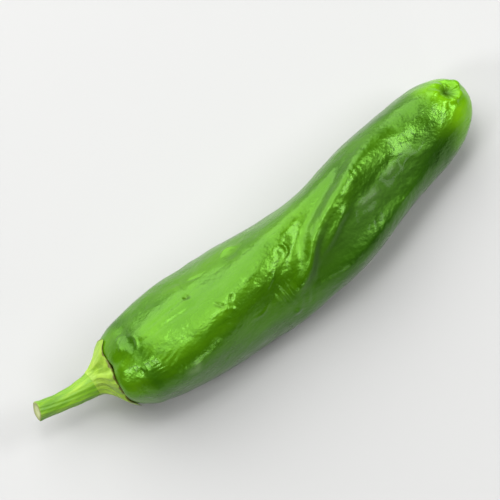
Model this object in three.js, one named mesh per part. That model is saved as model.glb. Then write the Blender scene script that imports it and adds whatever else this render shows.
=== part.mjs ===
// A fresh green frying chilli lying on its side: the fruit, its calyx and its cut pedicel.
// Millimetres, +Z up. The pedicel points to -X, the blossom end to +X, and the fruit lies on the plane z = 0.
// The origin is on that plane, under the middle of the whole pepper.

import * as THREE from 'three';

// Driving dimensions, mm
const POD_LENGTH = 100.5;       // fruit, from the shoulder under the calyx to the blossom end
const POD_RADIUS = 12.4;        // fruit at the belly
const SHOULDER_DEPTH = 5;       // length over which the blunt stem end rounds off
const TIP_DEPTH = 14;           // length over which the blossom end rounds off
const SHOULDER_BULGE = 1.5;     // how far the shoulder swells toward the stem in a ring round the calyx
const LOBE_BULGE = 0.5;         // how much more it swells on a lobe, and less in a furrow
const SHOULDER_TILT = 1.6;      // how far one side of the shoulder stands ahead of the rest
const REST_FLAT = 0.4;          // how deep the soft skin is pressed flat where it lies
const CALYX_RADIUS = 8.3;       // rim of the green cap
const CROWN_NOTCH = 2.1;        // how much nearer to the middle the rim lies on the crown side
const CALYX_HEIGHT = 4.4;       // from the shoulder to the neck, where the pedicel starts
const CALYX_LEAN = 1.5;         // how far the neck stands toward +Y of the shoulder's centre
const RIM_THICKNESS = 0.7;      // edge of the cap
const TOOTH_DEPTH = 0.45;       // how far the cap's small teeth stand out
const NECK_RADIUS = 3.3;        // cap where the pedicel starts
const PEDICEL_LENGTH = 14;      // from the neck to the cut
const PEDICEL_ROOT_RADIUS = 3.1;
const PEDICEL_RADIUS = 2.2;     // half way along
const PEDICEL_CUT_RADIUS = 2.1;
const PEDICEL_SWING = 2;        // how far the cut end has turned toward +Y
const PEDICEL_RISE = 2.4;       // and how far it has risen
const CLEARANCE = 0.3;          // between neighbouring pieces

// Shape of the fruit: each pair is a share of POD_LENGTH and the value there.
// Thickness, as a share of POD_RADIUS
const GIRTH = [
  [0, 0.716], [0.07, 0.865], [0.15, 0.945], [0.33, 0.99], [0.5, 0.9], [0.64, 0.876], [0.82, 0.78], [1, 0.68],
];
// How far the middle of the fruit bows toward +Y, mm
const SIDEWAYS = [
  [0, 3.3], [0.05, 2], [0.2, 1], [0.34, 1.2], [0.46, 1], [0.56, 1.1], [0.72, 5], [0.86, 7.2], [1, 8.6],
];
// How far the fruit is lifted, mm, so that it rests on its belly and near the blossom end
const UNDERSIDE = [
  [0, 0.9], [0.12, 0.4], [0.2, 0.1], [0.33, -0.7], [0.46, 0], [0.6, 1.1], [0.86, 0.1], [1, 2.5],
];
// Where the first lobe runs, in degrees from the crown line toward -Y, and how much the lobes stand out
const LOBE_TURN = [
  [0, 28], [0.15, 24], [0.25, 6], [0.34, -8], [0.44, -28], [0.56, -44], [0.8, -42], [1, -38],
];
const LOBE_SWELL = [[0, 0.05], [0.3, 0.075], [0.55, 0.05], [1, 0.04]];
const FACET = 0.012;            // how much flatter the skin is between two lobes
const LOBES = 3;
const TEETH = 5;
const CROWN_LEAN = 11;          // the crown line leans this many degrees from +Z toward -Y
const TILT_TURN = 30;           // where the shoulder stands furthest ahead, in degrees from the crown line
const NOTCH_TURN = 10;          // where the rim of the calyx lies nearest to the middle
const SHOULDER_POWER = 2.6;     // how blunt each end is: 2 is an ellipse, more is squarer
const TIP_POWER = 2.2;
const FOLD_FADE = 0.8;          // how suddenly a fold ends: less is more sudden
const CALYX_FLARE = 1.15;       // 1 makes the cap a plain cone, more hollows its sides
const PEDICEL_BEND = 0.45;      // share of its length over which the pedicel stays straight

// Long folds of the skin: the line that each follows, as [mm along, degrees from the crown line], how high it
// stands (negative sinks in) and its half-width above and below that line.
const FOLDS = [
  {
    line: [[41, -16], [46, -28], [51, -38], [58, -45], [68, -45]],
    height: -0.9,
    above: 1.8,
    below: 2.4,
  },
  {
    line: [[42, 14], [47, 2], [51, -14], [55, -23], [60, -31], [70, -33]],
    height: 1.1,
    above: 3,
    below: 2.6,
  },
  {
    line: [[48, 18], [54, 8], [59, 0], [64, -4], [71, 0], [78, 5], [92, 9]],
    height: -2.7,
    above: 2,
    below: 6.2,
  },
  {
    line: [[42, 34], [51, 43], [63, 49], [76, 49], [88, 46]],
    height: 0.9,
    above: 3.2,
    below: 3.8,
  },
];

const POD_COLOUR = 0x3f7a10;
const CALYX_COLOUR = 0x8fae3c;
const PEDICEL_COLOUR = 0x93bd2c;

// How finely each skin is cut into facets
const POD_ROWS = 48;
const ROW_CROWDING = 0.85;      // 0 spaces the rows evenly, 1 crowds them hard into the ends
const POD_COLUMNS = 40;
const CAP_ROWS = 10;
const PEDICEL_ROWS = 12;
const PEDICEL_COLUMNS = 24;

// A smooth curve through [place, value] pairs: cubic spans whose slopes come from the neighbouring pairs.
function curveThrough(pairs) {
  const slopeAt = (index) => {
    const before = pairs[Math.max(index - 1, 0)];
    const after = pairs[Math.min(index + 1, pairs.length - 1)];
    return (after[1] - before[1]) / (after[0] - before[0]);
  };
  return (place) => {
    let span = 0;
    while (span < pairs.length - 2 && place > pairs[span + 1][0]) {
      span += 1;
    }
    const [start, end] = [pairs[span], pairs[span + 1]];
    const width = end[0] - start[0];
    const t = THREE.MathUtils.clamp((place - start[0]) / width, 0, 1);
    return start[1] * (1 + 2 * t) * (1 - t) ** 2 + slopeAt(span) * width * t * (1 - t) ** 2
      + end[1] * t * t * (3 - 2 * t) - slopeAt(span + 1) * width * t * t * (1 - t);
  };
}

const girth = curveThrough(GIRTH);
const sideways = curveThrough(SIDEWAYS);
const underside = curveThrough(UNDERSIDE);
const lobeTurn = curveThrough(LOBE_TURN);
const lobeSwell = curveThrough(LOBE_SWELL);
const folds = FOLDS.map(({ line, ...size }) => (
  { start: line[0][0], end: line[line.length - 1][0], turnAt: curveThrough(line), ...size }
));

// 0 at the end of a dome and 1 where it meets the full body: a superellipse.
function domeShare(distance, depth, power) {
  const inward = 1 - Math.min(distance / depth, 1);
  return (1 - inward ** power) ** (1 / power);
}

// How far round from the first lobe a point lies.
function fromLobe(place, turn) {
  return turn - THREE.MathUtils.degToRad(lobeTurn(place));
}

// Height of one fold at a point of the skin: a bell across its line, rising and fading along it.
function foldHeight(fold, along, turn, radius) {
  const share = THREE.MathUtils.clamp((along - fold.start) / (fold.end - fold.start), 0, 1);
  const across = (turn - THREE.MathUtils.degToRad(fold.turnAt(along))) * radius;
  const width = across < 0 ? fold.above : fold.below;
  return fold.height * Math.sin(Math.PI * share) ** FOLD_FADE * Math.exp(-((across / width) ** 2));
}

// A direction square to the fruit's length, turned from the crown line.
function outward(turn) {
  const angle = turn + THREE.MathUtils.degToRad(CROWN_LEAN);
  return new THREE.Vector3(0, -Math.sin(angle), Math.cos(angle));
}

// A point of the fruit's skin: along in mm from the shoulder, turn in radians from -pi to pi.
function podSkin(along, turn) {
  const place = along / POD_LENGTH;
  const full = POD_RADIUS * girth(place);
  const wave = Math.cos(LOBES * fromLobe(place, turn));
  const facets = FACET * Math.cos(2 * LOBES * fromLobe(place, turn));
  const shoulder = domeShare(along, SHOULDER_DEPTH, SHOULDER_POWER);
  const tip = domeShare(POD_LENGTH - along, TIP_DEPTH, TIP_POWER);
  const folded = folds.reduce((sum, fold) => sum + foldHeight(fold, along, turn, full), 0);
  const radius = (full * (1 + lobeSwell(place) * wave + facets) + folded) * shoulder * tip;
  const swell = (SHOULDER_BULGE + LOBE_BULGE * wave) * Math.sin(Math.PI * shoulder ** 3) ** 2;
  const fromTilt = turn - THREE.MathUtils.degToRad(TILT_TURN);
  const tilt = SHOULDER_TILT * Math.cos(fromTilt) * shoulder * Math.exp(-along / SHOULDER_DEPTH);
  const height = full + underside(place) - REST_FLAT;
  const centre = new THREE.Vector3(along - swell - tilt, sideways(place), height);
  return centre.addScaledVector(outward(turn), radius);
}

// How far along the fruit its shoulder has grown to a radius, found by halving the span that holds it.
function alongWhere(radius) {
  let [low, high] = [0, POD_LENGTH / 4];
  while (high - low > 1e-6) {
    const middle = (low + high) / 2;
    const grown = POD_RADIUS * girth(middle / POD_LENGTH) * domeShare(middle, SHOULDER_DEPTH, SHOULDER_POWER);
    [low, high] = grown < radius ? [middle, high] : [low, middle];
  }
  return low;
}

// A point off the shoulder: reach is its distance from the fruit's axis, lift its height off the skin.
function overShoulder(reach, turn, lift) {
  const along = alongWhere(reach);
  const step = 0.02;
  const here = podSkin(along, turn);
  const onward = podSkin(along + step, turn).sub(here);
  const round = podSkin(along + step, turn + step).sub(podSkin(along + step, turn));
  const normal = round.cross(onward).normalize();
  return here.addScaledVector(normal, lift).add(leanAt(lift));
}

// The centre of the shoulder, lifted off the skin along the fruit's length.
function offShoulderCentre(lift) {
  return podSkin(0, 0).add(new THREE.Vector3(-lift, 0, 0)).add(leanAt(lift));
}

// How far a point that is lifted off the shoulder leans with the calyx.
function leanAt(lift) {
  return new THREE.Vector3(0, CALYX_LEAN * (lift - CLEARANCE) / CALYX_HEIGHT, 0);
}

// A closed skin over rings of points, with a single point at each end. It faces out when the rings, which all
// turn the same way, turn clockwise seen from the last point.
function skinOver(firstPoint, rings, lastPoint) {
  const columns = rings[0].length;
  const points = [firstPoint, ...rings.flat(), lastPoint];
  const last = points.length - 1;
  const at = (row, column) => 1 + row * columns + (column % columns);
  const faces = [];
  for (let column = 0; column < columns; column += 1) {
    faces.push(0, at(0, column + 1), at(0, column));
    faces.push(last, at(rings.length - 1, column), at(rings.length - 1, column + 1));
    for (let row = 0; row < rings.length - 1; row += 1) {
      faces.push(at(row, column), at(row, column + 1), at(row + 1, column));
      faces.push(at(row, column + 1), at(row + 1, column + 1), at(row + 1, column));
    }
  }
  const geometry = new THREE.BufferGeometry().setFromPoints(points);
  geometry.setIndex(faces);
  geometry.computeVertexNormals();
  return geometry;
}

// What pointAt gives at each column of a ring, from turn pi down toward -pi.
function ringOf(columns, pointAt) {
  const turns = Array.from({ length: columns }, (_, column) => Math.PI * (1 - 2 * column / columns));
  return turns.map((turn, column) => pointAt(turn, column));
}

function pieceOf(name, geometry, color, roughness) {
  const piece = new THREE.Mesh(geometry, new THREE.MeshStandardMaterial({ color, roughness, metalness: 0 }));
  piece.name = name;
  return piece;
}

// How far out to the rim each row under the calyx lies, finer toward the rim, where the shoulder turns.
function capShare(row) {
  return Math.sin(0.5 * Math.PI * row / CAP_ROWS);
}

// The rim of the calyx, as its distance from the fruit's axis: toothed, and drawn in on the crown side.
function rimReach(turn) {
  const towardNotch = Math.max(Math.cos(turn - THREE.MathUtils.degToRad(NOTCH_TURN)), 0);
  return CALYX_RADIUS - CROWN_NOTCH * towardNotch ** 1.5 + TOOTH_DEPTH * Math.cos(TEETH * turn);
}

// How far along the fruit its rows lie at one turn: under the calyx they match the calyx's rows, and past it
// they crowd toward both ends.
function podStations(turn) {
  const reachAt = (row) => rimReach(turn) * capShare(row);
  const underCalyx = Array.from({ length: CAP_ROWS }, (_, row) => alongWhere(reachAt(row + 1)));
  const rim = underCalyx[CAP_ROWS - 1];
  const past = Array.from({ length: POD_ROWS - 1 }, (_, row) => {
    const even = (row + 1) / POD_ROWS;
    const crowded = 0.5 - 0.5 * Math.cos(Math.PI * even);
    return rim + (POD_LENGTH - rim) * THREE.MathUtils.lerp(even, crowded, ROW_CROWDING);
  });
  return [...underCalyx, ...past];
}

// The fruit: one closed body from the blossom end to the shoulder, its underside pressed flat where it lies.
function makePod() {
  const stations = ringOf(POD_COLUMNS, podStations);
  const rings = stations[0].map((_, row) => (
    ringOf(POD_COLUMNS, (turn, column) => podSkin(stations[column][row], turn))
  ));
  const geometry = skinOver(podSkin(POD_LENGTH, 0), rings.reverse(), podSkin(0, 0));
  const position = geometry.attributes.position;
  for (let index = 0; index < position.count; index += 1) {
    position.setZ(index, Math.max(position.getZ(index), 0));
  }
  return pieceOf('pod', geometry, POD_COLOUR, 0.3);
}

// The calyx: a trumpet-shaped cap that hugs the shoulder, thin at its toothed rim and thick at its neck. Its
// rings run from the neck down to the rim, and back under it to the middle of the shoulder.
function makeCalyx() {
  const heightAt = (share) => RIM_THICKNESS + (CALYX_HEIGHT - RIM_THICKNESS) * share ** CALYX_FLARE;
  const rings = [];
  for (let row = CAP_ROWS; row >= 0; row -= 1) {
    const share = row / CAP_ROWS;
    const lift = CLEARANCE + heightAt(share);
    const reachAt = (turn) => THREE.MathUtils.lerp(rimReach(turn), NECK_RADIUS, share);
    rings.push(ringOf(POD_COLUMNS, (turn) => overShoulder(reachAt(-turn), -turn, lift)));
  }
  for (let row = CAP_ROWS; row >= 1; row -= 1) {
    const reachAt = (turn) => rimReach(turn) * capShare(row);
    rings.push(ringOf(POD_COLUMNS, (turn) => overShoulder(reachAt(-turn), -turn, CLEARANCE)));
  }
  const geometry = skinOver(offShoulderCentre(CLEARANCE + CALYX_HEIGHT), rings, offShoulderCentre(CLEARANCE));
  return pieceOf('calyx', geometry, CALYX_COLOUR, 0.5);
}

// The pedicel: a round stalk from the neck of the calyx to the cut, bending up and to the side.
function makePedicel() {
  const rootLift = CLEARANCE + CALYX_HEIGHT + CLEARANCE;
  const root = offShoulderCentre(rootLift);
  const bend = root.clone().add(new THREE.Vector3(-PEDICEL_LENGTH * PEDICEL_BEND, 0, 0));
  const cut = root.clone().add(new THREE.Vector3(-PEDICEL_LENGTH, PEDICEL_SWING, PEDICEL_RISE));
  const path = new THREE.QuadraticBezierCurve3(root, bend, cut);
  const radiusAt = curveThrough([[0, PEDICEL_ROOT_RADIUS], [0.5, PEDICEL_RADIUS], [1, PEDICEL_CUT_RADIUS]]);
  const rings = [ringOf(PEDICEL_COLUMNS, (turn) => overShoulder(PEDICEL_ROOT_RADIUS, turn, rootLift))];
  for (let row = 1; row <= PEDICEL_ROWS; row += 1) {
    const share = row / PEDICEL_ROWS;
    const centre = path.getPoint(share);
    const side = new THREE.Vector3(0, 0, 1).cross(path.getTangent(share)).normalize();
    const up = path.getTangent(share).cross(side);
    const radius = radiusAt(share);
    rings.push(ringOf(PEDICEL_COLUMNS, (turn) => centre.clone()
      .addScaledVector(up, radius * Math.cos(turn))
      .addScaledVector(side, radius * Math.sin(turn))));
  }
  return pieceOf('pedicel', skinOver(root, rings, cut), PEDICEL_COLOUR, 0.55);
}

// The pepper is moved so that the middle of its length and width is over the origin.
const pepper = new THREE.Group();
pepper.add(makePod(), makeCalyx(), makePedicel());
const middle = new THREE.Box3().setFromObject(pepper).getCenter(new THREE.Vector3());
pepper.position.set(-middle.x, -middle.y, 0);

export default pepper;
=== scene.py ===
import math

import bpy
import numpy as np
from mathutils import Matrix, Vector


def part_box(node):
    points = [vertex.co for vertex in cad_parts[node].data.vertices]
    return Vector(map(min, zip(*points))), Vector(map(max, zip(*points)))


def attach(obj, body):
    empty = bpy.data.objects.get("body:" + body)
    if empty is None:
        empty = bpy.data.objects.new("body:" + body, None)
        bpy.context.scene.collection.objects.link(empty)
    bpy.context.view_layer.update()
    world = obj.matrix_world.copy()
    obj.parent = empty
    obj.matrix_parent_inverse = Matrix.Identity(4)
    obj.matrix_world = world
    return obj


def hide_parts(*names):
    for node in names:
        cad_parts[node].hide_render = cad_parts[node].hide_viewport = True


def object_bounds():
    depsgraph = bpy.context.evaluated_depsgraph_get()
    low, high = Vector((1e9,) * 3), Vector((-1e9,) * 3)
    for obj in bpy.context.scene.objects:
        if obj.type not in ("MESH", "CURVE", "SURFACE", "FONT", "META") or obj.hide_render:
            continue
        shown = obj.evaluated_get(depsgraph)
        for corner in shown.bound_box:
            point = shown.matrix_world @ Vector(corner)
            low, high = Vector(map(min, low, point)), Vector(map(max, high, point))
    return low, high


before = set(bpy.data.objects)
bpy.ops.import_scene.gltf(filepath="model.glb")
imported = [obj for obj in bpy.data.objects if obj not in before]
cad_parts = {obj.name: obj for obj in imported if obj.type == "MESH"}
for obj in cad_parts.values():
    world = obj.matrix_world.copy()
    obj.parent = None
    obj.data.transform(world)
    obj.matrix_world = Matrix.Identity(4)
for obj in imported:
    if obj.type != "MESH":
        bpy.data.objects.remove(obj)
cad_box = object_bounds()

# ---------------------------------------------------------------------------------------------------
# Fruit
# One hollow berry: a thin, waxy, deep green skin over crisp flesh. It grew hanging from its calyx, with
# shallow lobes that twist, and it buckled where it bends, which left one deep fold and some creases.
# It lies on its belly, where the skin is pressed flat.
# ---------------------------------------------------------------------------------------------------

MM = 0.001
POD_LENGTH = 100.5              # mm, from the shoulder to the blossom end
POD_RADIUS = 12.4               # mm, at the belly
SHOULDER_DEPTH = 5.0            # mm over which the stem end rounds off
TIP_DEPTH = 14.0                # mm over which the blossom end rounds off
SHOULDER_BULGE = 1.5            # mm that the shoulder swells toward the stem, round the calyx
LOBE_BULGE = 0.5                # mm more than that on each lobe, and less in each furrow
SHOULDER_TILT = 1.6             # mm that one side of the shoulder stands ahead
TILT_TURN = 30.0                # degrees from the crown toward -Y, where that side is
REST_FLAT = 0.4                 # mm that the underside is pressed in
SHOULDER_POWER = 2.6            # 2 rounds an end off as an ellipse, more makes it squarer
TIP_POWER = 2.2
CROWN_LEAN = 11.0               # degrees from +Z toward -Y
FOLD_FADE = 1.15                # more than 1 lets a fold rise and sink gently at its ends

# The next five are curves along the fruit, each as pairs of a share of its length and the value there.
# The radius, as a share of POD_RADIUS:
GIRTH = [(0, 0.716), (0.07, 0.865), (0.15, 0.945), (0.33, 0.99), (0.5, 0.9), (0.64, 0.876), (0.82, 0.78),
         (1, 0.68)]
# How far the middle line stands toward +Y, and the underside off the floor, in mm:
SIDEWAYS = [(0, 3.3), (0.05, 2), (0.2, 1), (0.34, 1.2), (0.46, 1), (0.56, 1.1), (0.72, 5), (0.86, 7.2),
            (1, 8.6)]
UNDERSIDE = [(0, 0.9), (0.12, 0.4), (0.2, 0.1), (0.33, -0.7), (0.46, 0), (0.6, 1.1), (0.86, 0.1), (1, 2.5)]
# Degrees that the lobes are turned from the crown, and how far they stand out, as a share of the radius:
LOBE_TURN = [(0, 28), (0.15, 24), (0.25, 6), (0.34, -8), (0.44, -28), (0.56, -44), (0.8, -42), (1, -38)]
LOBE_SWELL = [(0, 0.05), (0.3, 0.075), (0.55, 0.05), (1, 0.04)]
FACET = 0.012                   # share of the radius by which the flanks of the lobes are flattened

# Long folds of the skin. line: (mm along, degrees from the crown toward -Y) pairs that a fold follows,
# height: mm, negative sinks in, above and below: half-widths in mm on its two sides.
FOLDS = [
    # The groove above the first ridge
    {"line": [(40, 8), (44, -4), (51, -24), (58, -34), (66, -38)],
     "height": -1.1, "above": 2.2, "below": 2.3},
    # The first ridge, and a sharper swell at its start
    {"line": [(39, 42), (43, 32), (46.5, 21), (49, 7), (51, -3), (54.5, -14), (58.6, -20), (63, -23),
              (70, -28), (80, -30)],
     "height": 1.6, "above": 2.2, "below": 2.4},
    {"line": [(41, 35), (45, 23), (47.5, 13), (50, 1), (53, -11)],
     "height": 0.8, "above": 2.2, "below": 1.6},
    # A short second ridge below it
    {"line": [(49, 22), (51, 15), (55, 6), (58, 0), (63, -4)],
     "height": 0.8, "above": 1.2, "below": 1.2},
    # The long hollow, and its lower lip
    {"line": [(45, 42), (49, 32), (53, 22), (57, 14), (62, 9), (68, 7), (75, 7), (82, 9), (90, 11)],
     "height": -0.9, "above": 2.6, "below": 4.0},
    {"line": [(40, 50), (51, 50), (57, 49), (63, 50), (76, 52), (88, 50)],
     "height": 1.1, "above": 2.2, "below": 4.2},
]


def curve_through(pairs, place):
    """Smooth curve through (place, value) pairs: cubic spans whose slopes are the rise between neighbours."""
    x, y = np.array(pairs, float).T
    order = np.arange(len(x))
    before, after = np.maximum(order - 1, 0), np.minimum(order + 1, len(x) - 1)
    slope = (y[after] - y[before]) / (x[after] - x[before])
    span = np.clip(np.searchsorted(x, place, side="right") - 1, 0, len(x) - 2)
    width = x[span + 1] - x[span]
    t = np.clip((place - x[span]) / width, 0, 1)
    return (y[span] * (1 + 2 * t) * (1 - t) ** 2 + slope[span] * width * t * (1 - t) ** 2
            + y[span + 1] * t * t * (3 - 2 * t) - slope[span + 1] * width * t * t * (1 - t))


def dome_share(distance, depth, power):
    """0 at the end of a dome and 1 where it meets the full body: a superellipse of the distance."""
    inward = 1 - np.minimum(distance / depth, 1)
    return (1 - inward ** power) ** (1 / power)


def outward(turn):
    """Unit direction square to the fruit's length, turned from the crown line toward -Y."""
    angle = turn + math.radians(CROWN_LEAN)
    return np.stack([np.zeros_like(angle), -np.sin(angle), np.cos(angle)], axis=-1)


def fold_height(fold, along, turn, radius):
    """Height of one long fold: a bell across its line, rising and fading along it as a half sine."""
    start, end = fold["line"][0][0], fold["line"][-1][0]
    share = np.clip((along - start) / (end - start), 0, 1)
    across = (turn - np.radians(curve_through(fold["line"], along))) * radius
    width = np.where(across < 0, fold["above"], fold["below"])
    return fold["height"] * np.sin(np.pi * share) ** FOLD_FADE * np.exp(-(across / width) ** 2)


def pod_skin(along, turn):
    """Skin of the fruit, mm: a tube round a bent line, its radius a girth curve times both end domes, with
    three lobes as a cosine of the turn, flattened on their flanks by its double, and the long folds added.
    The shoulder swells toward the stem in a ring, more on the lobes, and its plane is tilted."""
    place = along / POD_LENGTH
    full = POD_RADIUS * curve_through(GIRTH, place)
    from_lobe = turn - np.radians(curve_through(LOBE_TURN, place))
    wave = np.cos(3 * from_lobe)
    shoulder = dome_share(along, SHOULDER_DEPTH, SHOULDER_POWER)
    tip = dome_share(POD_LENGTH - along, TIP_DEPTH, TIP_POWER)
    folds = sum(fold_height(fold, along, turn, full) for fold in FOLDS)
    lobes = curve_through(LOBE_SWELL, place) * wave + FACET * np.cos(6 * from_lobe)
    radius = (full * (1 + lobes) + folds) * shoulder * tip
    swell = (SHOULDER_BULGE + LOBE_BULGE * wave) * np.sin(np.pi * shoulder ** 3) ** 2
    tilt = SHOULDER_TILT * np.cos(turn - math.radians(TILT_TURN)) * shoulder * np.exp(-along / SHOULDER_DEPTH)
    height = full + curve_through(UNDERSIDE, place) - REST_FLAT
    centre = np.stack([along - swell - tilt, curve_through(SIDEWAYS, place), height], axis=-1)
    return centre + radius[..., None] * outward(turn)


def unit(vectors):
    """Each vector divided by its own length."""
    return vectors / np.linalg.norm(vectors, axis=-1, keepdims=True)


def skin_directions(along, turn):
    """Unit directions on the skin by small differences: along the fruit, round it, and out of it."""
    step = 0.01
    ahead = np.clip(along + step, step, POD_LENGTH - step)
    behind = np.clip(along - step, step / 2, POD_LENGTH - step)
    lengthways = unit(pod_skin(ahead, turn) - pod_skin(behind, turn))
    inner = np.clip(along, step, POD_LENGTH - step)
    crossways = unit(pod_skin(inner, turn + step) - pod_skin(inner, turn - step))
    return lengthways, crossways, unit(np.cross(crossways, lengthways))


def close_grid(points):
    """Quads over a grid of rings that close on themselves, with a fan of triangles at each end point."""
    rows, columns = points.shape[:2]
    index = 1 + np.arange(rows * columns).reshape(rows, columns)
    right = np.roll(index, -1, axis=1)
    quads = np.stack([index[:-1], right[:-1], right[1:], index[1:]], axis=-1).reshape(-1, 4)
    last = rows * columns + 1
    first_fan = np.stack([np.zeros(columns, int), right[0], index[0]], axis=-1)
    last_fan = np.stack([np.full(columns, last), index[-1], right[-1]], axis=-1)
    return quads, np.concatenate([first_fan, last_fan])


def make_skin(name, first, rings, last):
    """A closed, smooth-shaded mesh over rings of points in mm, with one point at each end."""
    quads, fans = close_grid(rings)
    points = np.concatenate([first[None], rings.reshape(-1, 3), last[None]]) * MM
    mesh = bpy.data.meshes.new(name)
    mesh.vertices.add(len(points))
    mesh.vertices.foreach_set("co", points.ravel())
    corners = np.concatenate([quads.ravel(), fans.ravel()])
    mesh.loops.add(len(corners))
    mesh.loops.foreach_set("vertex_index", corners)
    sizes = np.concatenate([np.full(len(quads), 4), np.full(len(fans), 3)])
    mesh.polygons.add(len(sizes))
    mesh.polygons.foreach_set("loop_start", np.concatenate([[0], np.cumsum(sizes)[:-1]]))
    mesh.polygons.foreach_set("loop_total", sizes)
    mesh.polygons.foreach_set("use_smooth", np.ones(len(sizes), bool))
    mesh.update(calc_edges=True)
    mesh.validate()
    piece = bpy.data.objects.new(name, mesh)
    bpy.context.scene.collection.objects.link(piece)
    return piece


def paint(piece, layer, values):
    """Stores a value from 0 to 1 for every point of a piece, as a layer that its material can read."""
    colours = np.repeat(values[:, None], 4, axis=1).astype(np.float32)
    colours[:, 3] = 1
    attribute = piece.data.color_attributes.new(layer, "FLOAT_COLOR", "POINT")
    attribute.data.foreach_set("color", colours.ravel())


def undulation(along, turn, seed, waves, shortest, longest, most_round):
    """Gentle random swelling: a sum of cosine waves that run along and round the fruit, scaled to 1."""
    random = np.random.default_rng(seed)
    total = np.zeros_like(along)
    for _ in range(waves):
        length = random.uniform(shortest, longest)
        round_count = random.integers(0, most_round + 1) * random.choice([-1, 1])
        total += np.cos(2 * np.pi * (along / length + random.random()) + round_count * turn)
    return total / math.sqrt(waves / 2)


def ring_grid(rows, columns, way):
    """Two grids: the rows' values, and turns spaced evenly round the circle, rising if way is 1 and falling
    if it is -1."""
    turns = np.linspace(-way * np.pi, way * np.pi, columns, endpoint=False)
    return np.meshgrid(rows, turns, indexing="ij")


POD_ROWS = 400
POD_COLUMNS = 248
CROWDING = 0.65                 # 0 spaces the rows evenly, 1 crowds them most into both ends

even = np.linspace(0, 1, POD_ROWS + 1)[1:-1]
crowded = (1 - CROWDING) * even + CROWDING * (0.5 - 0.5 * np.cos(np.pi * even))
along, turn = ring_grid(POD_LENGTH * (1 - crowded), POD_COLUMNS, -1)
lengthways, crossways, out_of_skin = skin_directions(along, turn)
smooth_skin = pod_skin(along, turn)


class Mark:
    """A spot on the skin. x and y are the distances in mm from it to every point of the grid, along the fruit
    and round it toward -Y, and away is the straight distance."""

    def __init__(self, along_there, turn_there):
        there = np.array(float(along_there)), np.radians(float(turn_there))
        x_way, y_way, _ = skin_directions(*there)
        offset = smooth_skin - pod_skin(*there)
        self.x, self.y = offset @ x_way, offset @ y_way
        self.away = np.linalg.norm(offset, axis=-1)
        self.angle = np.arctan2(self.y, self.x)

    def dimple(self, radius, height):
        """A round bell."""
        return height * np.exp(-(self.away / radius) ** 2)

    def crescent(self, radius, half_width, height, facing, spread=1.0):
        """Part of a ring: a bell across its circle, fading round it as a cosine from the way it faces."""
        toward = np.clip(np.cos(self.angle - math.radians(facing)), 0, 1) ** spread
        return height * toward * np.exp(-((self.away - radius) / half_width) ** 2)

    def stroke(self, heading, half_length, half_width, height):
        """A straight line: a bell across it, with ends that drop off quickly."""
        cosine, sine = math.cos(math.radians(heading)), math.sin(math.radians(heading))
        lengthwise, across = self.x * cosine + self.y * sine, self.y * cosine - self.x * sine
        far_side = self.away > 3 * half_length + 3
        fade = np.exp(-(lengthwise / half_length) ** 4 - (across / half_width) ** 2)
        return np.where(far_side, 0, height * fade)

    def ripples(self, heading, wavelength, reach_along, reach_across, height):
        """Parallel waves that run along the heading, inside an oval bell."""
        cosine, sine = math.cos(math.radians(heading)), math.sin(math.radians(heading))
        lengthwise, across = self.x * cosine + self.y * sine, self.y * cosine - self.x * sine
        oval = np.exp(-(lengthwise / reach_along) ** 2 - (across / reach_across) ** 2)
        far_side = self.away > 2.5 * max(reach_along, reach_across)
        return np.where(far_side, 0, height * oval * np.cos(2 * np.pi * lengthwise / wavelength))

    def rays(self, count, inner, outer, height, phase=0.0):
        """Wrinkles that run out from the spot like spokes, between two distances from it."""
        band = np.exp(-((self.away - 0.5 * (inner + outer)) / (0.5 * (outer - inner))) ** 2)
        return height * band * np.cos(count * self.angle + phase)


def smooth_step(low, high, value):
    """0 up to low and 1 from high on, with a smooth rise between. With low above high it falls instead."""
    share = np.clip((value - low) / (high - low), 0, 1)
    return share * share * (3 - 2 * share)


# Gentle unevenness all over, broad and fine, fading at both ends
broad = undulation(along, turn, seed=3, waves=30, shortest=14, longest=45, most_round=5)
fine = undulation(along, turn, seed=8, waves=70, shortest=4, longest=9, most_round=16)
relief = 0.09 * broad + 0.018 * fine
relief = relief * dome_share(along, 6, 2) * dome_share(POD_LENGTH - along, 9, 2)

# The shoulder: a shallow collar round its crown side, an old swirl-shaped scar, a nick, and puckered skin
COLLAR_PLACE = 5.6              # mm along
COLLAR_WIDTH = 1.9              # mm, half
COLLAR_DEPTH = 0.4              # mm
turn_degrees = np.degrees(turn)
crown_side = smooth_step(-85, -55, turn_degrees) * smooth_step(45, 20, turn_degrees)
relief -= COLLAR_DEPTH * np.exp(-((along - COLLAR_PLACE) / COLLAR_WIDTH) ** 2) * crown_side
relief += Mark(4.8, -31).dimple(1.3, -0.14) + Mark(4.8, -31).crescent(2.4, 0.36, 0.26, 15)
relief += Mark(3.4, -33).dimple(0.45, 0.22) + Mark(4.4, -44).crescent(1.2, 0.3, 0.12, -90)
relief += Mark(4.2, 9).crescent(0.9, 0.25, 0.2, 0) + Mark(4.2, 9).dimple(0.8, -0.12)
relief += Mark(7.9, 17).ripples(90, 0.85, 1.9, 1.5, 0.07) + Mark(10.5, 12).ripples(70, 1.3, 2.4, 2.2, 0.05)
relief += Mark(1.9, -22).stroke(0, 3.5, 1.3, -0.3) + Mark(2.2, -4).dimple(1.7, 0.3)

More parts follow.
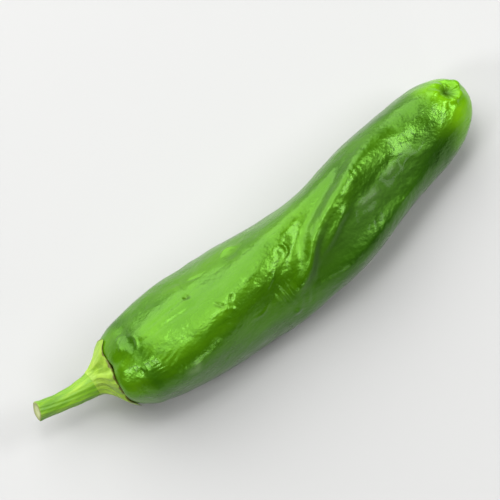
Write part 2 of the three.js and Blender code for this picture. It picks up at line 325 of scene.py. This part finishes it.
# The belly: two drawn-in streaks that end in a pit, and the nicks and crescents of small healed scars
relief += Mark(14.5, -23).stroke(4, 7.5, 0.5, -0.2) + Mark(15.5, -35).stroke(-1, 5.2, 0.35, -0.14)
relief += Mark(21.0, -36.5).dimple(0.6, -0.45) + Mark(21.0, -36.5).crescent(1.0, 0.3, 0.16, 130)
relief += Mark(21.9, -55).stroke(88, 2.2, 0.35, -0.15) + Mark(25.0, -52).stroke(25, 1.4, 0.4, -0.16)
relief += Mark(17.0, -8).crescent(0.75, 0.22, -0.12, 90, 0.3) + Mark(26.4, -22).dimple(1.1, 0.12)
relief += Mark(25.4, -4).stroke(55, 1.3, 0.4, -0.3) + Mark(28.4, -3).stroke(-50, 0.9, 0.35, -0.22)
relief += Mark(26.1, 2).dimple(0.45, 0.3) + Mark(27.2, 6).dimple(0.4, 0.25)
relief += Mark(34.6, -49).crescent(2.0, 0.4, 0.3, -90) + Mark(34.6, -47).dimple(1.6, -0.22)
relief += Mark(32.0, 16).crescent(3.4, 0.3, 0.16, 80, 3) + Mark(37.6, 7).stroke(-28, 2.0, 0.28, 0.24)
relief += Mark(43.4, -13).crescent(1.5, 0.32, 0.24, 10) + Mark(43.4, -13).dimple(1.1, -0.18)

# The bend: short ripples where the skin has crumpled at the root of the deep fold
relief += Mark(39.4, 30).ripples(-8, 1.75, 2.9, 2.9, 0.2) + Mark(39.6, 62).dimple(0.8, 0.4)
relief += Mark(43.2, 52).ripples(15, 1.9, 2.4, 1.8, 0.12) + Mark(46.5, 30).ripples(5, 2.3, 3.0, 3.0, 0.06)
relief += Mark(56.0, 47).ripples(0, 1.7, 3.2, 1.6, 0.04) + Mark(66.0, 47).ripples(40, 2.1, 5.0, 2.2, 0.04)
relief += Mark(75.0, 50).ripples(12, 1.5, 3.0, 1.6, 0.03) + Mark(74.4, 48).stroke(-3, 3.0, 0.2, 0.1)
relief += Mark(53.0, -14).ripples(20, 1.8, 4.0, 1.8, 0.04) + Mark(65.8, -28).ripples(15, 1.5, 2.2, 1.8, 0.05)
relief += Mark(66.5, 11).stroke(-4, 3.2, 1.0, 0.16) + Mark(74.2, 9).stroke(-12, 2.2, 0.8, 0.18)
relief += Mark(79.2, 14).stroke(-8, 2.0, 0.9, 0.14)

# The blossom end: the flower's scar is a crater with a nub beside it, and wrinkles run out from it
scar = Mark(96.4, -24)
relief += scar.dimple(1.7, -1.7) + scar.rays(7, 1.6, 4.6, 0.14, 0.7) + scar.rays(11, 1.0, 3.0, 0.08)
relief += scar.crescent(2.7, 0.7, 0.5, 60, 0.7) + Mark(98.7, -40).dimple(1.35, 0.75)
relief += Mark(98.6, 10).dimple(2.4, 0.35) + Mark(97.4, -42).stroke(60, 1.6, 0.35, -0.4)

skin = smooth_skin + relief[..., None] * out_of_skin
skin[..., 2] = np.maximum(skin[..., 2], 0)

# The fruit is fitted to the box of the CAD fruit, and everything that grows from it moves with it
pod_low, pod_high = (np.array(corner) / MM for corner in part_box("pod"))
skin_low = smooth_skin.min(axis=(0, 1))
skin_high = smooth_skin.max(axis=(0, 1))
sideways_shift = 0.5 * (pod_low[1] + pod_high[1] - skin_low[1] - skin_high[1])
place_in_frame = np.array([pod_low[0] - skin_low[0], sideways_shift, 0.0])
tip_middle = pod_skin(np.array(POD_LENGTH), np.array(0.0))
shoulder_middle = pod_skin(np.array(0.0), np.array(0.0))
pod = make_skin("pod_skin", tip_middle + place_in_frame, skin + place_in_frame,
                shoulder_middle + place_in_frame)
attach(pod, "root")
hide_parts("pod")


def with_ends(grid, first, last):
    """A grid's values in one row, between a value for the mesh's first point and one for its last."""
    return np.concatenate([[first], grid.ravel(), [last]])


# Lime rather than deep green: the blossom end, and a ragged band on the shoulder round the cap
SHOULDER_LIME = 0.45
ragged = 0.9 * undulation(along, turn, seed=21, waves=30, shortest=6, longest=20, most_round=8)
limeness = smooth_step(88, 97, along + ragged) + SHOULDER_LIME * smooth_step(7, 0, along + 0.6 * ragged)
limeness += 0.35 * scar.dimple(5.0, 1.0)
paint(pod, "lime", with_ends(np.clip(limeness, 0, 1), 1, SHOULDER_LIME))

# Small scars that have dried brown
browned = Mark(21.0, -36.5).dimple(0.7, 0.8) + Mark(25.4, -4).stroke(55, 1.2, 0.35, 0.7)
browned += Mark(28.4, -3).stroke(-50, 0.8, 0.3, 0.6) + scar.dimple(1.3, 0.6) + Mark(1.0, -20).dimple(0.9, 0.8)
paint(pod, "scar", with_ends(np.clip(browned, 0, 1), 0, 0))

# Painted shade: the skin is darkened in the long hollow, at the foot of the first ridge and in the flower's
# scar, where shade falls, and it is made rougher there too. These bands are given as folds are, with a share
# from 0 up in place of a height.
PAINTED_SHADE_BANDS = [
    {"line": [(43, 44), (49, 30), (53, 21), (58, 16), (64, 13), (75, 14), (90, 16)],
     "height": 1.35, "above": 2.4, "below": 5.0},
    {"line": [(41, 42), (45, 31), (47.5, 20), (50, 8), (53, -3), (58, -13)],
     "height": 1.2, "above": 0.9, "below": 2.0},
]
hollow = sum(fold_height(band, along, turn, POD_RADIUS) for band in PAINTED_SHADE_BANDS)
hollow = np.clip(hollow + scar.dimple(1.7, 1.0), 0, 1)
paint(pod, "hollow", with_ends(hollow, 0, 0))

# Painted reflections: greyish pale spots on the belly near the shoulder and on the floor of the long hollow
wax = Mark(14.1, 35.5).stroke(-60, 1.6, 0.9, 1.0) + Mark(12.5, 37).dimple(1.0, 0.7)
wax += Mark(66.5, 11).stroke(-4, 3.2, 1.0, 0.35) + Mark(74.2, 9).stroke(-12, 2.2, 0.8, 0.3)
paint(pod, "wax", with_ends(wax, 0, 0))

# Painted light and shade: the skin is painted lighter on the side toward the main light and darker on the
# side away from it. That side faces +Y over the belly, turns over beyond the bend and back at the blossom end
LIT_SIDE_TURN = 62.0                # degrees from the crown toward +Y, on the belly
BEND_TURN = 72.0                # degrees more beyond the bend
TIP_TURN_BACK = 40.0            # degrees less again at the blossom end
SHOULDER_LIT_SHARE = 0.1         # share that is left on the shoulder
lit_side_turn = LIT_SIDE_TURN + BEND_TURN * smooth_step(42, 62, along) - TIP_TURN_BACK * smooth_step(82, 96, along)
past_shoulder = SHOULDER_LIT_SHARE + (1 - SHOULDER_LIT_SHARE) * smooth_step(4.5, 9.5, along)
painted_light_share = (0.5 + 0.5 * np.cos(turn + np.radians(lit_side_turn))) * past_shoulder
paint(pod, "pale", with_ends(painted_light_share, 0.5, 0.2))


class Value:
    """One output socket of a material. Arithmetic on it adds Math nodes to the material."""

    def __init__(self, looks, socket):
        self.looks = looks
        self.socket = socket

    def math(self, operation, first, second):
        """Adds a Math node."""
        return self.looks.node("ShaderNodeMath", {"operation": operation}, {0: first, 1: second})

    def __add__(self, other):
        return self.math("ADD", self, other)

    def __mul__(self, other):
        return self.math("MULTIPLY", self, other)

    __radd__ = __add__
    __rmul__ = __mul__


class Looks:
    """A material with its Principled shader. node() adds any other node, and set() fills the shader."""

    def __init__(self, name):
        self.material = bpy.data.materials.new(name)
        self.material.use_nodes = True
        self.tree = self.material.node_tree
        self.shader = self.tree.nodes["Principled BSDF"]

    def node(self, kind, settings, inputs, output=0):
        """Adds a node, with its settings first and then the values or links of its sockets."""
        made = self.tree.nodes.new(kind)
        for key, setting in settings.items():
            if key == "stops":
                self.fill_ramp(made.color_ramp, setting)
            else:
                setattr(made, key, setting)
        for key, value in inputs.items():
            self.feed(made.inputs[key], value)
        return Value(self, made.outputs[output])

    def feed(self, socket, value):
        """Links a value to a socket, or sets the socket's own number or colour."""
        if isinstance(value, Value):
            self.tree.links.new(value.socket, socket)
        else:
            socket.default_value = value

    def fill_ramp(self, ramp, stops):
        """Gives a ramp its stops."""
        while len(ramp.elements) < len(stops):
            ramp.elements.new(1.0)
        for element, (position, colour) in zip(ramp.elements, stops):
            element.position = position
            element.color = (*colour, 1.0)

    def set(self, **values):
        """Feeds the Principled shader's sockets, named with _ for each space."""
        for key, value in values.items():
            self.feed(self.shader.inputs[key.replace("_", " ")], value)

    def noise(self, scale, detail=2.0, roughness=0.5, stretch=(1, 1, 1)):
        """Noise in object space, 0 to 1. scale is in waves per metre, and a stretch below 1 draws them out
        along that axis."""
        place = self.node("ShaderNodeTexCoord", {}, {}, "Object")
        scaled = self.node("ShaderNodeVectorMath", {"operation": "MULTIPLY"}, {0: place, 1: stretch})
        return self.node("ShaderNodeTexNoise", {}, {"Vector": scaled, "Scale": scale, "Detail": detail,
                                                    "Roughness": roughness}, "Fac")

    def mix(self, share, first, second):
        """Colour that goes from the first to the second as share goes from 0 to 1."""
        return self.node("ShaderNodeMix", {"data_type": "RGBA"}, {0: share, 6: first, 7: second}, 2)

    def ramp(self, value, stops):
        """Colour that goes through the stops, each a value and the colour there."""
        return self.node("ShaderNodeValToRGB", {"stops": stops}, {"Fac": value})

    def layer(self, name):
        """A painted layer of the piece, as a value from 0 to 1."""
        return self.node("ShaderNodeAttribute", {"attribute_name": name}, {}, "Fac")

    def bump(self, height, distance, below=None):
        """A normal bent by a height from 0 to 1 that stands for a distance in metres, over the one below."""
        inputs = {"Height": height, "Distance": distance}
        if below is not None:
            inputs["Normal"] = below
        return self.node("ShaderNodeBump", {}, inputs)


def skin_looks():
    """Deep green cuticle, lime at both ends: mottled, streaked lengthways, glossy, finely dimpled, with
    painted light, shade and reflections.
    """
    looks = Looks("pod_skin")
    mottle = looks.noise(110, 4, 0.6, (0.5, 1, 1))
    streaks = looks.noise(420, 3, 0.6, (0.14, 1, 1))
    blotches = mottle * 0.7 + streaks * 0.3
    green = looks.ramp(blotches, [(0.34, (0.012, 0.05, 0.0001)), (0.5, (0.024, 0.088, 0.0002)),
                                  (0.66, (0.048, 0.14, 0.0005))])
    painted_shade_side = looks.ramp(blotches, [(0.34, (0.004, 0.026, 0.0001)), (0.66, (0.018, 0.08, 0.0002))])
    pale = looks.ramp(blotches, [(0.34, (0.045, 0.15, 0.0004)), (0.66, (0.095, 0.25, 0.001))])
    # Painted light and shade: lighter green on the lit side, darker green on the shaded side
    green = looks.mix(looks.layer("pale"), looks.mix(0.85, green, painted_shade_side), looks.mix(0.6, green, pale))
    lime = looks.ramp(blotches, [(0.35, (0.09, 0.28, 0.0005)), (0.65, (0.18, 0.43, 0.0015))])
    colour = looks.mix(looks.layer("lime"), green, lime)
    shaded_green = (0.008, 0.034, 0.0003, 1)
    dried_brown = (0.03, 0.05, 0.004, 1)
    reflection_grey = (0.2, 0.27, 0.14, 1)
    # Painted shade in the long hollow, at the foot of the first ridge and in the flower's scar
    colour = looks.mix(looks.layer("hollow") * 0.85, colour, shaded_green)
    colour = looks.mix(looks.layer("scar") * 0.7, colour, dried_brown)
    # Painted reflections: grey spots
    colour = looks.mix(looks.layer("wax") * 0.4, colour, reflection_grey)
    looks.set(Base_Color=colour, IOR=1.8, Specular_Tint=(0.42, 1.0, 0.13, 1))
    looks.set(Roughness=mottle * 0.24 + looks.layer("hollow") * 0.3 + 0.16)
    looks.set(Coat_Weight=0.07, Coat_Roughness=0.1, Coat_IOR=1.5)
    peel = looks.noise(1100, 2, 0.5)
    dents = looks.noise(330, 3, 0.55, (0.7, 1, 1))
    looks.set(Normal=looks.bump(peel, 0.00007, below=looks.bump(dents, 0.0003)))
    return looks.material


pod.data.materials.append(skin_looks())

# ---------------------------------------------------------------------------------------------------
# Calyx
# The cap of fused sepals that held the flower: waxy green leaf tissue, grown as one with the stalk. It
# spreads over the shoulder like a trumpet's bell, and its thin toothed edge has dried brown on the fruit.
# ---------------------------------------------------------------------------------------------------

CALYX_RADIUS = 8.3              # mm, rim
CROWN_NOTCH = 2.1               # mm that the rim draws back on the crown side
NOTCH_TURN = 10.0               # degrees from the crown, where it draws back most
TOOTH_DEPTH = 0.45              # mm
TEETH = 5
CAP_HEIGHT = 4.8                # mm from the shoulder's centre to the root of the pedicel
CAP_LEAN = 1.6                  # mm that the root stands toward +Y
PEDICEL_LENGTH = 14.0           # mm from the root to the cut
PEDICEL_BEND = 0.45             # share of that over which it leaves the cap straight
PEDICEL_SWING = 2.0             # mm that the cut has turned toward +Y
PEDICEL_RISE = 2.4              # mm that it has risen
PEDICEL_GIRTH = [(0, 3.1), (0.5, 2.2), (1, 2.1)]    # share of its length, radius in mm
RIBS = 5
STALK_TWIST = 0.5               # radians that the ribs turn from the root to the cut
NECK = 0.06                     # share of the pedicel at which the cap ends
NECK_SWELL = 1.01               # the cap's girth there, as a share of the stalk's
RIM_LIFT = 0.32                 # mm that the rim stands off the skin
INNER_GAP = 0.02                # mm between the cap's inner face and the skin
CAP_COLUMNS = 300
OUTER_ROWS = 70
INNER_ROWS = 16

# How far the skin of the shoulder lies from its middle, for each distance along
shoulder_along = np.linspace(0, 15, 2000)
shoulder_dome = dome_share(shoulder_along, SHOULDER_DEPTH, SHOULDER_POWER)
shoulder_reach = POD_RADIUS * curve_through(GIRTH, shoulder_along / POD_LENGTH) * shoulder_dome

# The stalk's path: where it leaves the cap, the point that it bends toward, and the cut
root = shoulder_middle + (-CAP_HEIGHT, CAP_LEAN, 0)
bend = root + (-PEDICEL_LENGTH * PEDICEL_BEND, 0, 0)
cut = root + (-PEDICEL_LENGTH, PEDICEL_SWING, PEDICEL_RISE)


def over_shoulder(reach, turn, lift):
    """Points over the shoulder of the fruit: reach is how far from its middle the skin below them lies, and
    lift how far they stand off that skin."""
    along_there = np.interp(reach, shoulder_reach, shoulder_along)
    _, _, away = skin_directions(along_there, turn)
    return pod_skin(along_there, turn) + lift[..., None] * away


def pedicel_surface(share, turn, swell=1.0):
    """The stalk: a circle with soft ribs, carried along a bent path. The path is a quadratic Bezier curve,
    and the circle stands square to it, with its zero turn toward +Z."""
    portion = share[..., None]
    centre = (1 - portion) ** 2 * root + 2 * portion * (1 - portion) * bend + portion ** 2 * cut
    tangent = unit((1 - portion) * (bend - root) + portion * (cut - bend))
    side = unit(np.cross((0, 0, 1), tangent))
    up = np.cross(tangent, side)
    twist = turn + STALK_TWIST * share
    ribs = 0.035 * np.cos(RIBS * twist) + 0.018 * np.cos(3 * RIBS * twist + 1.0) + 0.02 * np.cos(2 * twist)
    radius = (curve_through(PEDICEL_GIRTH, np.clip(share, 0, 1)) * swell * (1 + ribs))[..., None]
    return centre + up * np.cos(turn)[..., None] * radius + side * np.sin(turn)[..., None] * radius


def stalk_middle(share):
    """One point of the stalk's middle line: its surface with the girth shrunk to nothing."""
    return pedicel_surface(np.array([share]), np.array([0.0]), 0.0)[0]


def rim_radius(turn):
    """Radius of the cap without its teeth: drawn back on the crown side as a power of a cosine."""
    return CALYX_RADIUS - CROWN_NOTCH * np.clip(np.cos(turn - math.radians(NOTCH_TURN)), 0, 1) ** 1.5


def cap_surface(share, turn):
    """The bell from the neck (share 0) to the rim (share 1): a cubic Bezier curve at every turn, which leaves
    the neck along the stalk and comes down on the skin at a slant, with ribs that run out into the teeth."""
    ragged_rim = 0.1 * np.cos(11 * turn + 1) + 0.07 * np.cos(17 * turn + 2) + 0.03 * np.cos(31 * turn)
    reach = rim_radius(turn) + TOOTH_DEPTH * np.cos(TEETH * turn) + ragged_rim
    rim = over_shoulder(reach, turn, np.full_like(turn, RIM_LIFT))
    neck = pedicel_surface(np.full_like(turn, NECK), turn, NECK_SWELL)
    nearer_fruit = pedicel_surface(np.full_like(turn, NECK - 0.02), turn, NECK_SWELL)
    from_neck = neck + 2.6 * unit(nearer_fruit - neck) + (0.3, 0, 0)
    to_rim = rim + 0.25 * (neck - rim) + (-0.75, 0, 0)
    portion = share[..., None]
    surface = ((1 - portion) ** 3 * neck + 3 * portion * (1 - portion) ** 2 * from_neck
               + 3 * portion ** 2 * (1 - portion) * to_rim + portion ** 3 * rim)
    ribs = 0.16 * np.cos(TEETH * turn) + 0.07 * np.cos(3 * TEETH * turn + 0.6) + 0.03 * np.cos(37 * turn)
    swell = (ribs * np.sin(np.pi * share) ** 0.8)[..., None]
    inside = 0.5 * (root + shoulder_middle) + (2.5, 0, 0)
    return surface + swell * unit(surface - inside)


# The edge rolls over, and the inner face lies just off the skin
outer_share, cap_turn = ring_grid(np.linspace(0, 1, OUTER_ROWS), CAP_COLUMNS, 1)
outer = cap_surface(outer_share, cap_turn)
inner_share, inner_turn = ring_grid(np.linspace(0.93, 0.08, INNER_ROWS), CAP_COLUMNS, 1)
inner = over_shoulder(rim_radius(inner_turn) * inner_share, inner_turn, np.full_like(inner_turn, INNER_GAP))
edge = 0.5 * (outer[-1:] + inner[:1]) + (0.02, 0, 0)
cap_rings = np.concatenate([outer, edge, inner])
inner_middle = shoulder_middle + (-INNER_GAP, 0, 0)
calyx = make_skin("calyx_cap", stalk_middle(NECK) + place_in_frame, cap_rings + place_in_frame,
                  inner_middle + place_in_frame)
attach(calyx, "root")
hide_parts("calyx")

# The edge has dried, raggedly, and the veins on the ribs are paler. The edge and inner face count as rim.
rim_share = np.concatenate([outer_share, np.ones((1 + INNER_ROWS, CAP_COLUMNS))])
rim_turn = np.repeat(cap_turn[:1], len(rim_share), axis=0)
ragged_edge = 0.025 * np.cos(13 * rim_turn) + 0.015 * np.cos(29 * rim_turn + 1)
dried = smooth_step(0.95, 1.0, rim_share + ragged_edge)
paint(calyx, "dried", with_ends(dried, 0, 1))
ribbed = 0.5 + 0.5 * np.cos(TEETH * rim_turn) * np.sin(np.pi * rim_share)
paint(calyx, "rib", with_ends(ribbed, 0.5, 0.5))


def calyx_looks():
    """Waxy yellow-green leaf tissue with paler ribs, dried brown along its edge."""
    looks = Looks("calyx")
    fibres = looks.noise(900, 3, 0.6, (0.3, 1, 1))
    patches = looks.noise(260, 3, 0.5)
    grain = fibres * 0.5 + patches * 0.5
    green = looks.ramp(grain, [(0.36, (0.13, 0.26, 0.008)), (0.52, (0.23, 0.4, 0.02)),
                               (0.66, (0.34, 0.5, 0.05))])
    pale_rib = (0.46, 0.66, 0.1, 1)
    dried_brown = (0.09, 0.065, 0.012, 1)
    colour = looks.mix(looks.layer("rib") * 0.35, green, pale_rib)
    colour = looks.mix(looks.layer("dried") * 0.85, colour, dried_brown)
    looks.set(Base_Color=colour, IOR=1.45)
    looks.set(Roughness=fibres * 0.25 + 0.32)
    looks.set(Normal=looks.bump(fibres, 0.0001, below=looks.bump(patches, 0.0002)))
    return looks.material


calyx.data.materials.append(calyx_looks())

# ---------------------------------------------------------------------------------------------------
# Pedicel
# The stalk that the fruit hung from: tough green fibres round a pale pith, ribbed and a little bent. It
# grows out of the cap, and it was snipped straight across, so that the pith shows on the cut.
# ---------------------------------------------------------------------------------------------------

PEDICEL_ROWS = 130
PEDICEL_COLUMNS = 120
# Rings of the cut face from its edge inward: share of the stalk's length, size, and how much of the colour
# is the cut's and the pith's
CUT_RINGS = [(1.006, 1.02, 0.4, 0), (1.012, 0.93, 1, 0), (1.008, 0.72, 1, 0.3), (1.0, 0.45, 1, 1),
             (0.997, 0.2, 1, 1)]

stalk_share, stalk_turn = ring_grid(np.linspace(0.005, 1, PEDICEL_ROWS), PEDICEL_COLUMNS, -1)
unevenness = (1 + 0.02 * np.sin(9 * stalk_share + 2 * stalk_turn)
              + 0.015 * np.sin(23 * stalk_share - stalk_turn))
flared_cut = 1 + 0.05 * smooth_step(0.93, 1.0, stalk_share)
inside_cap = 0.86 + 0.14 * smooth_step(0.0, NECK + 0.02, stalk_share)
stalk = pedicel_surface(stalk_share, stalk_turn, unevenness * flared_cut * inside_cap)
ring_share, ring_size, ring_cut, ring_pith = np.array(CUT_RINGS).T
face_share, face_turn = ring_grid(ring_share, PEDICEL_COLUMNS, -1)
face = pedicel_surface(face_share, face_turn, ring_size[:, None])
pedicel = make_skin("pedicel_stalk", stalk_middle(0.004) + place_in_frame,
                    np.concatenate([stalk, face]) + place_in_frame, stalk_middle(0.996) + place_in_frame)
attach(pedicel, "root")
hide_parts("pedicel")

# Colours of the cut face, and of the furrows between the ribs
uncut = np.zeros_like(stalk_share)
on_face = np.ones_like(face_turn)
cut_layer = np.concatenate([uncut, ring_cut[:, None] * on_face])
paint(pedicel, "cut", with_ends(cut_layer, 0, 1))
pith_layer = np.concatenate([uncut, ring_pith[:, None] * on_face])
paint(pedicel, "pith", with_ends(pith_layer, 0, 1))
furrows = 0.5 - 0.5 * np.cos(RIBS * (stalk_turn + STALK_TWIST * stalk_share))
paint(pedicel, "furrow", with_ends(np.concatenate([furrows, 0 * on_face]), 0, 0))


def pedicel_looks():
    """Yellow-green stalk with long fibres, deeper green in its furrows and pale where it was cut."""
    looks = Looks("pedicel")
    fibres = looks.noise(800, 3, 0.6, (0.12, 1, 1))
    patches = looks.noise(200, 2, 0.5)
    grain = fibres * 0.6 + patches * 0.4
    green = looks.ramp(grain, [(0.36, (0.09, 0.23, 0.004)), (0.52, (0.16, 0.34, 0.008)),
                               (0.66, (0.27, 0.45, 0.02))])
    furrow_green = (0.1, 0.27, 0.006, 1)
    cut_flesh = (0.26, 0.3, 0.08, 1)
    pith = (0.5, 0.55, 0.25, 1)
    colour = looks.mix(looks.layer("furrow") * 0.35, green, furrow_green)
    colour = looks.mix(looks.layer("cut"), colour, cut_flesh)
    colour = looks.mix(looks.layer("pith"), colour, pith)
    looks.set(Base_Color=colour, IOR=1.45)
    looks.set(Roughness=fibres * 0.25 + 0.33)
    looks.set(Normal=looks.bump(fibres, 0.00012))
    return looks.material


pedicel.data.materials.append(pedicel_looks())

# ---------------------------------------------------------------------------------------------------
# Floor, light and camera
# A plain pale sheet. One large soft panel lights it from the +Y side, and four small ones put the narrower
# highlights on the fruit. The surroundings add a faint fill, and the camera looks down steeply from afar.
# ---------------------------------------------------------------------------------------------------

FLOOR_SIZE = 3.0                # m
FLOOR_GREY = (0.47, 0.47, 0.465, 1)
FILL_COLOUR = (0.95, 0.98, 1.0, 1)
FILL_STRENGTH = 0.05
CAMERA_AZIMUTH = -37.03         # degrees: 0 looks along +Y
CAMERA_ELEVATION = 76.0         # degrees above the floor
LENS = 250.0                    # mm
SENSOR = 36.0                   # mm
VIEW_WIDTH = 0.110              # m across the view, at the fruit
MIDDLE_SHIFT = (-0.0036, 0.0038)    # m from the box's middle to the view's, to its right and up

floor_mesh = bpy.data.meshes.new("floor")
half = FLOOR_SIZE / 2
corners = [(-half, -half, 0), (half, -half, 0), (half, half, 0), (-half, half, 0)]
floor_mesh.from_pydata(corners, [], [(0, 1, 2, 3)])
floor = bpy.data.objects.new("floor", floor_mesh)
bpy.context.scene.collection.objects.link(floor)
floor_looks = Looks("floor")
floor_looks.set(Base_Color=FLOOR_GREY, Roughness=0.8)
floor_mesh.materials.append(floor_looks.material)

low, high = (Vector(corner) for corner in cad_box)
middle = (low + high) / 2
azimuth = math.radians(CAMERA_AZIMUTH)
elevation = math.radians(CAMERA_ELEVATION)
toward_camera = Vector((math.sin(azimuth) * math.cos(elevation), -math.cos(azimuth) * math.cos(elevation),
                        math.sin(elevation)))
stem_to_tip = Vector((1, 0, 0)) - toward_camera * toward_camera.x
stem_to_tip.normalize()
across_fruit = toward_camera.cross(stem_to_tip)


def aim(thing, position, target, upward):
    """Puts a lamp or camera at a position, its -Z toward the target and its Y as near upward as it can be."""
    back = (position - target).normalized()
    right = upward.cross(back).normalized()
    turned = Matrix((right, back.cross(right), back)).transposed().to_4x4()
    thing.matrix_world = Matrix.Translation(position) @ turned


def soft_panel(name, along_angle, across_angle, distance, size, radiance):
    """A rectangular soft panel that faces the fruit. Its direction is that many degrees from the camera's,
    toward the blossom end and toward the +Y side, and its sides lie along and across the fruit."""
    direction = (toward_camera + stem_to_tip * math.tan(math.radians(along_angle))
                 + across_fruit * math.tan(math.radians(across_angle))).normalized()
    light = bpy.data.lights.new(name, "AREA")
    light.shape = "RECTANGLE"
    light.size, light.size_y = size
    light.energy = radiance * math.pi * size[0] * size[1]
    lamp = bpy.data.objects.new(name, light)
    bpy.context.scene.collection.objects.link(lamp)
    aim(lamp, middle + direction * distance, middle, across_fruit)


soft_panel("key", along_angle=8, across_angle=55, distance=1.0, size=(1.15, 1.75), radiance=3.7)
soft_panel("core", along_angle=8, across_angle=23, distance=0.85, size=(0.2, 0.2), radiance=9.0)
soft_panel("tip", along_angle=46, across_angle=-6, distance=0.8, size=(0.15, 0.5), radiance=14.0)
soft_panel("stem", along_angle=-36, across_angle=8, distance=0.85, size=(0.18, 0.18), radiance=20.0)
soft_panel("low", along_angle=-2, across_angle=-62, distance=0.8, size=(0.16, 0.12), radiance=9.0)

world = bpy.data.worlds.new("studio")
world.use_nodes = True
surroundings = world.node_tree.nodes["Background"]
surroundings.inputs["Color"].default_value = FILL_COLOUR
surroundings.inputs["Strength"].default_value = FILL_STRENGTH
bpy.context.scene.world = world
bpy.context.scene.view_settings.view_transform = "Standard"

camera_data = bpy.data.cameras.new("camera")
camera_data.lens = LENS
camera_data.sensor_width = SENSOR
camera = bpy.data.objects.new("camera", camera_data)
bpy.context.scene.collection.objects.link(camera)
upright = Vector((0, 0, 1))
view_right = upright.cross(toward_camera).normalized()
view_up = toward_camera.cross(view_right)
target = middle + view_right * MIDDLE_SHIFT[0] + view_up * MIDDLE_SHIFT[1]
camera_distance = VIEW_WIDTH * LENS / SENSOR
aim(camera, target + toward_camera * camera_distance, target, upright)
bpy.context.scene.camera = camera
